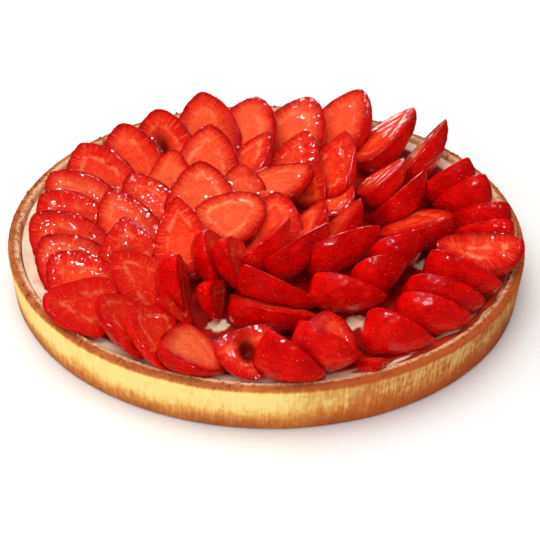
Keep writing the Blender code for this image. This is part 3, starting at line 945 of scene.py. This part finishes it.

# %% [markdown]
# ## The cut face of a strawberry
#
# A cut strawberry is deep red just under the skin and orange-red in the flesh. Round the core runs a paler
# band of veins, clear in some berries and lost in the glaze in others, from which fine fibres run out to the
# seeds. All of that follows the outline of the cut, so the pattern reads attributes that hold how far in
# from the outline each point is, where it is along it, how clear the veins of this berry are and how pale it
# is. A hollow heart is painted a near-black red, as painted shade inside its cavity. The glaze lies on this
# face too.


# %% Make the cut face
def make_flesh():
    material, tree, shader = new_material(
        "glazed_strawberry_flesh", Roughness=0.42, IOR=1.38, Subsurface_Weight=0.12,
        Subsurface_Scale=2.5 * MM, Coat_Weight=1.0, Coat_Roughness=0.06, Coat_IOR=1.5,
    )
    shader.inputs["Specular IOR Level"].default_value = 0.1
    shader.inputs["Subsurface Radius"].default_value = (1, 0.15, 0.08)
    place = add_node(tree, "ShaderNodeTexCoord").outputs["Object"]
    flesh = add_node(tree, "ShaderNodeAttribute", attribute_name="flesh")
    parts = add_node(tree, "ShaderNodeSeparateXYZ", {"Vector": flesh.outputs["Vector"]})
    look = add_node(tree, "ShaderNodeAttribute", attribute_name="look")
    clearness = add_node(tree, "ShaderNodeSeparateXYZ", {"Vector": look.outputs["Vector"]})
    skin = add_node(tree, "ShaderNodeAttribute", attribute_name="skin")
    along = add_node(tree, "ShaderNodeSeparateXYZ", {"Vector": skin.outputs["Vector"]}).outputs["Y"]
    wobble = add_node(tree, "ShaderNodeTexNoise",
                      {"Vector": place, "Scale": 1 / (6 * MM), "Detail": 3, "Roughness": 0.55})
    inset = add_node(tree, "ShaderNodeMath", {"Value": wobble, "Value_001": 0.34,
                                              "Value_002": parts.outputs["X"]}, operation="MULTIPLY_ADD")
    inset = add_node(tree, "ShaderNodeMath", {"Value": inset, "Value_001": 0.17}, operation="SUBTRACT")
    base = add_node(tree, "ShaderNodeValToRGB", {"Fac": inset}, stops=(
        (0.0, "8A0100"), (0.05, "AC0300"), (0.14, "CC0702"), (0.32, "DE1004"), (0.5, "EE240C"),
        (0.75, "FA3C1C"), (1.0, "FF5C32"),
    ))
    # Soft bands that follow the outline, different in every berry.
    band_place = add_node(tree, "ShaderNodeCombineXYZ", {
        "X": multiply(tree, inset, 2.4), "Y": multiply(tree, along, 2.2), "Z": parts.outputs["Z"]})
    bands = add_node(tree, "ShaderNodeTexNoise",
                     {"Vector": band_place, "Scale": 1.0, "Detail": 2, "Roughness": 0.5})
    bands = between(tree, bands, 0.47, 0.66)
    deep = between(tree, parts.outputs["X"], 0.16, 0.4)
    colour = mix_colours(tree, multiply(tree, bands, deep, 0.5), base.outputs["Color"], "FF5A28")
    deep_red = multiply(tree, between(tree, clearness.outputs["Y"], 0, -1), 0.75)
    colour = mix_colours(tree, deep_red, colour, "D20A04")
    # The ring of veins, broken here and there, and the fibres outside it.
    off_ring = add_node(tree, "ShaderNodeMath", {"Value": inset, "Value_001": VEIN_PLACE},
                        operation="SUBTRACT")
    off_ring = add_node(tree, "ShaderNodeMath", {"Value": off_ring}, operation="ABSOLUTE")
    ring = multiply(tree, between(tree, off_ring, 0.11, 0.0), between(tree, wobble, 0.4, 0.6))
    colour = mix_colours(tree, multiply(tree, ring, clearness.outputs["X"], 0.8), colour, "FF9C68")

    fibre_place = add_node(tree, "ShaderNodeCombineXYZ", {
        "X": multiply(tree, parts.outputs["Y"], 0.9), "Y": multiply(tree, parts.outputs["X"], 1.2),
        "Z": parts.outputs["Z"],
    })
    fibres = add_node(tree, "ShaderNodeTexNoise",
                      {"Vector": fibre_place, "Scale": 1.0, "Detail": 3, "Roughness": 0.65})
    fibres = between(tree, fibres, 0.48, 0.75)
    inner = between(tree, parts.outputs["X"], 0.02, 0.16)
    outer = between(tree, parts.outputs["X"], 0.8, 0.35)
    strength = add_node(tree, "ShaderNodeMath", {"Value": clearness.outputs["X"], "Value_001": 0.35,
                                                 "Value_002": 0.4}, operation="MULTIPLY_ADD")
    colour = mix_colours(tree, multiply(tree, fibres, inner, outer, strength), colour, "FF6C3C")
    pale = multiply(tree, clearness.outputs["Y"], between(tree, inset, 0.06, 0.4), 0.62)
    colour = mix_colours(tree, pale, colour, "FF7E4C")
    # Wet cells: fine blotches of clearer and cloudier flesh.
    cells = add_node(tree, "ShaderNodeTexNoise",
                     {"Vector": place, "Scale": 1 / (1.7 * MM), "Detail": 3, "Roughness": 0.7})
    colour = mix_colours(tree, multiply(tree, between(tree, cells, 0.5, 0.34), 0.4), colour, "CC0A04")
    colour = mix_colours(tree, multiply(tree, between(tree, cells, 0.54, 0.7), deep, 0.28), colour, "FF7A4A")
    # Painted shade: the hollow heart is darkened to a near-black red.
    colour = mix_colours(tree, clearness.outputs["Z"], colour, "6A0200")
    tree.links.new(colour, shader.inputs["Base Color"])
    fine = add_node(tree, "ShaderNodeTexNoise", {"Vector": place, "Scale": 1 / (3.4 * MM), "Detail": 1})
    bump = add_node(tree, "ShaderNodeBump", {"Height": fine, "Strength": 0.5, "Distance": 0.7 * MM})
    tree.links.new(bump.outputs["Normal"], shader.inputs["Coat Normal"])
    return material


flesh_material = make_flesh()
print("made", flesh_material.name)

# %% [markdown]
# ## Pressing the halves together
#
# A real berry gives way where the next one lies on it. Here a Boolean takes away what each half
# would share with the later ones, with the rim and with the cream. The Manifold solver is used
# because the halves are closed and finely divided, and it is many times faster than the exact one.
# The cutters are the same shapes without dimples, grown by a tenth of a millimetre.

# %% Make the cutters
RINGS = 60
SKIN_COLUMNS = 50
FACE_COLUMNS = 26
CUTTER_GROWTH = 0.1 * MM


def seed_of(index):
    return 11 + 7 * index


def ring_cutter():
    """The room that the rim takes, as a closed loop a hair larger than the rim."""
    top = CASE_HEIGHT + 0.1 * MM
    inner = CASE_RADIUS - CASE_WALL - ROUGHNESS_ROOM - 0.2 * MM
    outline = ((CASE_RADIUS + 8 * MM, 10 * MM), (CASE_RADIUS + 8 * MM, top),
               (inner + RIM_ROUNDING, top), (inner, top - RIM_ROUNDING), (inner, 10 * MM))
    steps = 180
    points = []
    for step in range(steps):
        angle = 2 * math.pi * step / steps
        points += [(r * math.cos(angle), r * math.sin(angle), z) for r, z in outline]
    faces = []
    for step in range(steps):
        for row in range(5):
            here, beside = step * 5 + row, step * 5 + (row + 1) % 5
            faces.append((here, beside, (beside + 5) % (steps * 5), (here + 5) % (steps * 5)))
    mesh = bpy.data.meshes.new("room_for_rim")
    mesh.from_pydata(points, [], faces)
    face_outwards(mesh)
    return bpy.data.objects.new("room_for_rim", mesh)


def cream_cutter():
    """A block that reaches up to where the halves rest."""
    model = bmesh.new()
    bmesh.ops.create_cube(model, size=1)
    mesh = bpy.data.meshes.new("room_for_cream")
    model.to_mesh(mesh)
    model.free()
    depth = 60 * MM
    mesh.transform(Matrix.Translation((0, 0, CREAM_TOP + GAP - depth / 2))
                   @ Matrix.Diagonal((0.4, 0.4, depth, 1)))
    return bpy.data.objects.new("room_for_cream", mesh)


cutters = [ring_cutter(), cream_cutter()]
for index, (name, row) in enumerate(rows):
    smooth_half = half_surface(row, seed_of(index), 26, 24, 6, grown=CUTTER_GROWTH)
    cutters.append(bpy.data.objects.new("room_for_" + name, half_mesh("room_for_" + name, row, smooth_half)))


def box_of(mesh):
    points = np.empty(len(mesh.vertices) * 3)
    mesh.vertices.foreach_get("co", points)
    points = points.reshape(-1, 3)
    return points.min(axis=0), points.max(axis=0)


cutter_boxes = [box_of(cutter.data) for cutter in cutters]
print("cutters:", len(cutters))

# %% [markdown]
# ## Cutting, cleaning and labelling
#
# After the cut only the largest body is kept, since a slice can leave a loose slip behind. Then
# every point gets its labels for the materials: how far in from the cut's outline it is, how deep
# in a dimple, and a number that makes each berry a slightly different red. The seeds that are
# still on the surface are noted for later.


# %% Trim and label
def keep_largest_body(model):
    """Drops every body but the one with the most corners."""
    left = set(model.verts)
    bodies = []
    while left:
        waiting = [left.pop()]
        body = []
        while waiting:
            vert = waiting.pop()
            body.append(vert)
            for edge in vert.link_edges:
                other = edge.other_vert(vert)
                if other in left:
                    left.discard(other)
                    waiting.append(other)
        bodies.append(body)
    bodies.sort(key=len)
    for body in bodies[:-1]:
        bmesh.ops.delete(model, geom=body, context="VERTS")


pressing = bpy.data.collections.new("pressing_in")
bpy.context.scene.collection.children.link(pressing)


def trimmed(piece, index):
    """The mesh of a half without what the rim, the cream and the later halves take up."""
    low, high = box_of(piece.data)
    near = [cutter for number, (cutter, (other_low, other_high)) in enumerate(zip(cutters, cutter_boxes))
            if (number < 2 or number > index + 2)
            and (low < other_high).all() and (other_low < high).all()]
    for cutter in near:
        pressing.objects.link(cutter)
    cut = piece.modifiers.new("room", "BOOLEAN")
    cut.operation = "DIFFERENCE"
    cut.solver = "MANIFOLD"
    cut.operand_type = "COLLECTION"
    cut.collection = pressing
    graph = bpy.context.evaluated_depsgraph_get()
    made = bpy.data.meshes.new_from_object(piece.evaluated_get(graph), depsgraph=graph)
    piece.modifiers.clear()
    for cutter in near:
        pressing.objects.unlink(cutter)
    return made


def add_vectors(mesh, name, vectors):
    layer = mesh.attributes.new(name, "FLOAT_VECTOR", "POINT")
    layer.data.foreach_set("vector", np.asarray(vectors, dtype=np.float32).ravel())


def label(mesh, name, row, seed, tint):
    """Stores the flesh, skin and look attributes that the two berry materials read."""
    length, width = row[6] * MM, row[7] * MM
    points = np.empty(len(mesh.vertices) * 3)
    mesh.vertices.foreach_get("co", points)
    back = np.array(laid_frame(row).inverted())
    local = points.reshape(-1, 3) @ back[:3, :3].T + back[:3, 3]
    inset, around = inset_of(local, row)
    sites = seed_sites(row, seed)
    apart = np.linalg.norm(local[:, None] - sites[None], axis=2).min(axis=1)
    number = np.full(len(local), float(seed))
    add_vectors(mesh, "flesh", np.stack([inset, around / MM, number], axis=1))
    add_vectors(mesh, "skin", np.stack(
        [np.exp(-(apart / DIMPLE_REACH) ** 2), local[:, 0] / length, np.full(len(local), tint)], axis=1))
    core = np.exp(-((local[:, 0] / length - 0.42) / 0.2) ** 2 - (local[:, 1] / (0.11 * width)) ** 2)
    # The look holds how clear the veins are, how pale or deep the flesh is, and how much painted shade
    # darkens the hollow heart.
    add_vectors(mesh, "look", np.stack([
        np.full(len(local), CLEAR_VEINS.get(name, 0.4)), np.full(len(local), PALE_FLESH.get(name, 0.0)),
        np.minimum(core * HOLLOW_HEARTS_AND_SHADE.get(name, 0) * 1.2, 0.9)], axis=1))
    return sites


SHARP_EDGE = math.radians(52)
chance = np.random.default_rng(5)
seed_places, seed_facings, seed_pointings = [], [], []
tucked = bmesh.new()
halves = []
for index, (name, row) in enumerate(rows):
    seed = seed_of(index)
    surface = half_surface(row, seed, RINGS, SKIN_COLUMNS, FACE_COLUMNS,
                           hollow=HOLLOW_HEARTS_AND_SHADE.get(name, 0))
    piece = bpy.data.objects.new("glazed_half_" + name, half_mesh(name, row, surface))
    bpy.context.collection.objects.link(piece)
    mesh = trimmed(piece, index)
    model = bmesh.new()
    model.from_mesh(mesh)
    keep_largest_body(model)
    bmesh.ops.remove_doubles(model, verts=model.verts, dist=0.004 * MM)
    model.to_mesh(mesh)
    sites = label(mesh, name, row, seed, chance.uniform(-1, 1))
    surface_tree = BVHTree.FromBMesh(model)
    placing = laid_frame(row)
    toward_point = placing.to_3x3() @ Vector((1, 0, 0))
    model.faces.ensure_lookup_table()
    for site in sites:
        spot, facing, face, distance = surface_tree.find_nearest(placing @ Vector(site))
        if distance < 0.8 * MM and model.faces[face].material_index == 0:
            seed_places.append(spot)
            seed_facings.append(facing)
            seed_pointings.append(toward_point)
    model.free()
    mesh.shade_smooth()
    mesh.set_sharp_from_angle(angle=SHARP_EDGE)
    if name.startswith("tucked"):
        tucked.from_mesh(mesh)
        bpy.data.objects.remove(piece)
        continue
    piece.data = mesh
    mesh.name = piece.name
    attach(piece, "root")
    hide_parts("strawberry_" + name)
    halves.append(piece)

for cutter in cutters:
    bpy.data.objects.remove(cutter)
bpy.data.collections.remove(pressing)
print("halves:", len(halves), "seeds:", len(seed_places))
print("triangles:", sum(len(face.vertices) - 2 for half in halves for face in half.data.polygons))

# %% [markdown]
# ## The small pieces in the gaps
#
# Cooks fill the gaps with broken or small halves. They are made as the others are, and joined in
# one piece, because nobody picks them out one by one.

# %% Join the tucked-in pieces
tucked_mesh = bpy.data.meshes.new("tucked_in_halves")
tucked.to_mesh(tucked_mesh)
tucked.free()
tucked_mesh.materials.append(skin_material)
tucked_mesh.materials.append(flesh_material)
tucked_mesh.shade_smooth()
tucked_mesh.set_sharp_from_angle(angle=SHARP_EDGE)
tucked_halves = bpy.data.objects.new("tucked_in_halves", tucked_mesh)
bpy.context.collection.objects.link(tucked_halves)
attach(tucked_halves, "root")
print("tucked-in triangles:", sum(len(face.vertices) - 2 for face in tucked_mesh.polygons))

# %% [markdown]
# ## Seeds
#
# The pips on a strawberry are flat drops about 1.5 mm long, each lying along the berry at the
# bottom of its dimple. Geometry Nodes set one small ball, squashed to that size, on every noted
# place, turn it to face away from the skin and along the berry, and vary its size with a fixed
# seed. A ball of few faces is enough, because there are thousands of them.


# %% Build the seed tree
def build_seed_tree():
    tree, identifiers, given = open_tree("seeds_in_dimples", (
        ("Seed Length", "Float"), ("Seed Width", "Float"), ("Seed Height", "Float"),
        ("Material", "Material"),
    ))
    want = given.outputs
    ball = add_node(tree, "GeometryNodeMeshUVSphere", {"Segments": 6, "Rings": 3, "Radius": 0.5})
    size = add_node(tree, "ShaderNodeCombineXYZ", {
        "X": want["Seed Length"], "Y": want["Seed Width"], "Z": want["Seed Height"]})
    drop = add_node(tree, "GeometryNodeTransform", {"Geometry": ball, "Scale": size})
    smooth = add_node(tree, "GeometryNodeSetShadeSmooth", {"Geometry": drop})
    facing = add_node(tree, "GeometryNodeInputNamedAttribute", {"Name": "facing"},
                      data_type="FLOAT_VECTOR")
    pointing = add_node(tree, "GeometryNodeInputNamedAttribute", {"Name": "pointing"},
                        data_type="FLOAT_VECTOR")
    turned = add_node(tree, "FunctionNodeAxesToRotation",
                      {"Primary Axis": facing, "Secondary Axis": pointing},
                      primary_axis="Z", secondary_axis="X")
    vary = add_node(tree, "FunctionNodeRandomValue", {"Min_001": 0.75, "Max_001": 1.2, "Seed": 3},
                    data_type="FLOAT")
    vary = next(one for one in vary.outputs if one.identifier == "Value_001")
    placed = add_node(tree, "GeometryNodeInstanceOnPoints", {
        "Points": want["Geometry"], "Instance": smooth, "Rotation": turned, "Scale": vary})
    real = add_node(tree, "GeometryNodeRealizeInstances", {"Geometry": placed})
    coated = add_node(tree, "GeometryNodeSetMaterial", {"Geometry": real, "Material": want["Material"]})
    add_node(tree, "NodeGroupOutput", {"Geometry": coated})
    return tree, identifiers


def make_seed_material():
    material, tree, shader = new_material(
        "glazed_strawberry_seed", Roughness=0.35, IOR=1.45, Coat_Weight=1.0, Coat_Roughness=0.08)
    place = add_node(tree, "ShaderNodeTexCoord").outputs["Object"]
    kind = add_node(tree, "ShaderNodeTexNoise", {"Vector": place, "Scale": 1 / (4 * MM), "Detail": 1})
    colour = add_node(tree, "ShaderNodeValToRGB", {"Fac": kind}, stops=(
        (0.38, "A80C04"), (0.56, "BC1A0A"), (0.76, "DC6A3C"),
    ))
    tree.links.new(colour.outputs["Color"], shader.inputs["Base Color"])
    return material


seed_tree, seed_inputs = build_seed_tree()
sites_mesh = bpy.data.meshes.new("seed_sites")
sites_mesh.from_pydata([tuple(place) for place in seed_places], [], [])
add_vectors(sites_mesh, "facing", [tuple(one) for one in seed_facings])
add_vectors(sites_mesh, "pointing", [tuple(one) for one in seed_pointings])
seeds = plain_piece("strawberry_seeds", sites_mesh, seed_tree, {
    seed_inputs["Seed Length"]: 1.1 * MM, seed_inputs["Seed Width"]: 0.65 * MM,
    seed_inputs["Seed Height"]: 0.5 * MM, seed_inputs["Material"]: make_seed_material(),
})
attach(seeds, "root")
print("seed triangles:", sum(len(face.vertices) - 2 for face in seeds.data.polygons))

# %% [markdown]
# ## Smears of cream with a painted highlight, set glaze and crumbs
#
# The cream was spread up against the rim, and a thin wavy line of it dried there. Its near-white colour is
# also a painted highlight, for the bright wet line along the front of the rim. On the right the glaze ran
# off the berries and set in a clear orange-red strip. Both are ridges: a low half ellipse carried along an
# arc, which tapers to nothing at its ends. Each one gets its own seed for the waver of its path. The crumbs
# are small rough balls of the same pastry, half sunk in the rim.


# %% Make the smears and the glaze
RIDGE_SIDES = 7


def ridge(model, start, end, width, height, seed):
    """Adds a tapered ridge between two (azimuth in degrees, radius in mm, height in mm) places."""
    draw = np.random.default_rng(seed)
    phases = draw.uniform(0, 2 * math.pi, 3)
    length = math.radians(abs(end[0] - start[0])) * start[1] + abs(end[1] - start[1])
    steps = max(8, int(length / 0.8))
    rings = []
    for step in range(steps + 1):
        share = step / steps
        azimuth, radius, level = [one + (other - one) * share for one, other in zip(start, end)]
        along = length * share
        waver = 0.5 * math.sin(along / 5 + phases[0]) + 0.3 * math.sin(along / 2.2 + phases[1])
        swell = 0.76 + 0.24 * math.sin(along / 3.1 + phases[2])
        taper = max(math.sin(math.pi * share), 0.03) ** 0.5 * swell
        turn = math.radians(azimuth)
        outward = Vector((math.cos(turn), math.sin(turn), 0))
        middle = outward * (radius + waver) * MM + Vector((0, 0, level * MM))
        ring = []
        for side in range(RIDGE_SIDES + 1):
            angle = math.pi * side / RIDGE_SIDES
            across = math.cos(angle) * width / 2 * taper
            up = math.sin(angle) * height * taper
            ring.append(model.verts.new(middle + outward * across * MM + Vector((0, 0, up * MM))))
        rings.append(ring)
    for here, beside in zip(rings, rings[1:]):
        for side in range(RIDGE_SIDES + 1):
            other = (side + 1) % (RIDGE_SIDES + 1)
            model.faces.new((here[side], here[other], beside[other], beside[side]))
    model.faces.new(rings[0])
    model.faces.new(rings[-1])


def ridges_piece(name, ridges, material):
    model = bmesh.new()
    for index, values in enumerate(ridges):
        ridge(model, *values, seed=60 + index)
    bmesh.ops.recalc_face_normals(model, faces=model.faces)
    mesh = bpy.data.meshes.new(name)
    model.to_mesh(mesh)
    model.free()
    mesh.materials.append(material)
    mesh.shade_smooth()
    mesh.set_sharp_from_angle(angle=SHARP_EDGE)
    piece = bpy.data.objects.new(name, mesh)
    bpy.context.collection.objects.link(piece)
    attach(piece, "root")
    return piece


# Painted highlight: the near-white cream colour also stands for the bright wet line along the front rim.
cream_and_highlight_material, _, _ = new_material(
    "dried_cream_and_painted_highlight", Base_Color=linear("FBE6C8"), Roughness=0.4, IOR=1.42, Coat_Weight=0.8,
    Coat_Roughness=0.1,
)
cream_level = CREAM_TOP / MM
smears_and_highlights = ridges_piece("cream_smears_and_highlights_at_rim", (
    ((238, 113.2, cream_level + 0.6), (262, 113.6, cream_level + 0.9), 2.2, 1.1),
    ((253, 114.2, cream_level + 1.6), (283, 114.2, cream_level + 2.0), 1.3, 0.9),
    ((262, 113.0, cream_level + 0.8), (297, 113.2, cream_level + 0.8), 1.6, 1.0),
    ((276, 114.4, cream_level + 1.9), (303, 113.8, cream_level + 1.4), 1.0, 0.8),
    ((291, 111.0, cream_level + 0.3), (304, 110.0, cream_level + 0.5), 2.4, 1.0),
    ((299, 84.0, cream_level), (297, 98.0, cream_level), 2.4, 1.2),
), cream_and_highlight_material)

glaze_material, _, _ = new_material(
    "set_strawberry_glaze", Base_Color=linear("CE3C1E"), Roughness=0.3, IOR=1.4,
    Subsurface_Weight=0.2, Subsurface_Scale=2 * MM, Coat_Weight=1.0, Coat_Roughness=0.06,
)
glaze = ridges_piece("set_glaze_at_rim", (
    ((289, 108.5, cream_level - 0.1), (318, 110.5, cream_level + 0.2), 5.0, 0.8),
    ((306, 111.6, cream_level + 0.4), (362, 111.8, cream_level + 0.4), 4.4, 1.0),
    ((322, 108.0, cream_level - 0.1), (366, 108.6, cream_level), 6.0, 0.8),
    ((296, 90.0, cream_level), (306, 104.0, cream_level), 4.0, 0.8),
    ((40, 60.0, cream_level), (48, 80.0, cream_level), 5.0, 1.0),
), glaze_material)

# %% Scatter the crumbs
CRUMBS = 260
crumb_draw = np.random.default_rng(8)
crumbs_model = bmesh.new()
for _ in range(CRUMBS):
    turn = crumb_draw.uniform(0, 2 * math.pi)
    radius = crumb_draw.uniform(CASE_RADIUS - CASE_WALL + 0.6 * MM, CASE_RADIUS - 1.4 * MM)
    size = crumb_draw.uniform(0.35, 0.8) * MM
    place = Matrix.Translation((radius * math.cos(turn), radius * math.sin(turn),
                                CASE_HEIGHT - ROUGHNESS_ROOM + size * 0.25))
    grown = bmesh.ops.create_icosphere(crumbs_model, subdivisions=1, radius=size, matrix=place)
    for vertex in grown["verts"]:
        vertex.co += Vector(crumb_draw.uniform(-0.3, 0.3, 3) * size)
crumbs_mesh = bpy.data.meshes.new("pastry_crumbs")
crumbs_model.to_mesh(crumbs_mesh)
crumbs_model.free()
crumbs_mesh.materials.append(pastry)
crumbs_mesh.shade_smooth()
crumbs = bpy.data.objects.new("pastry_crumbs", crumbs_mesh)
bpy.context.collection.objects.link(crumbs)
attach(crumbs, "root")
print("crumb triangles:", len(crumbs_mesh.polygons))
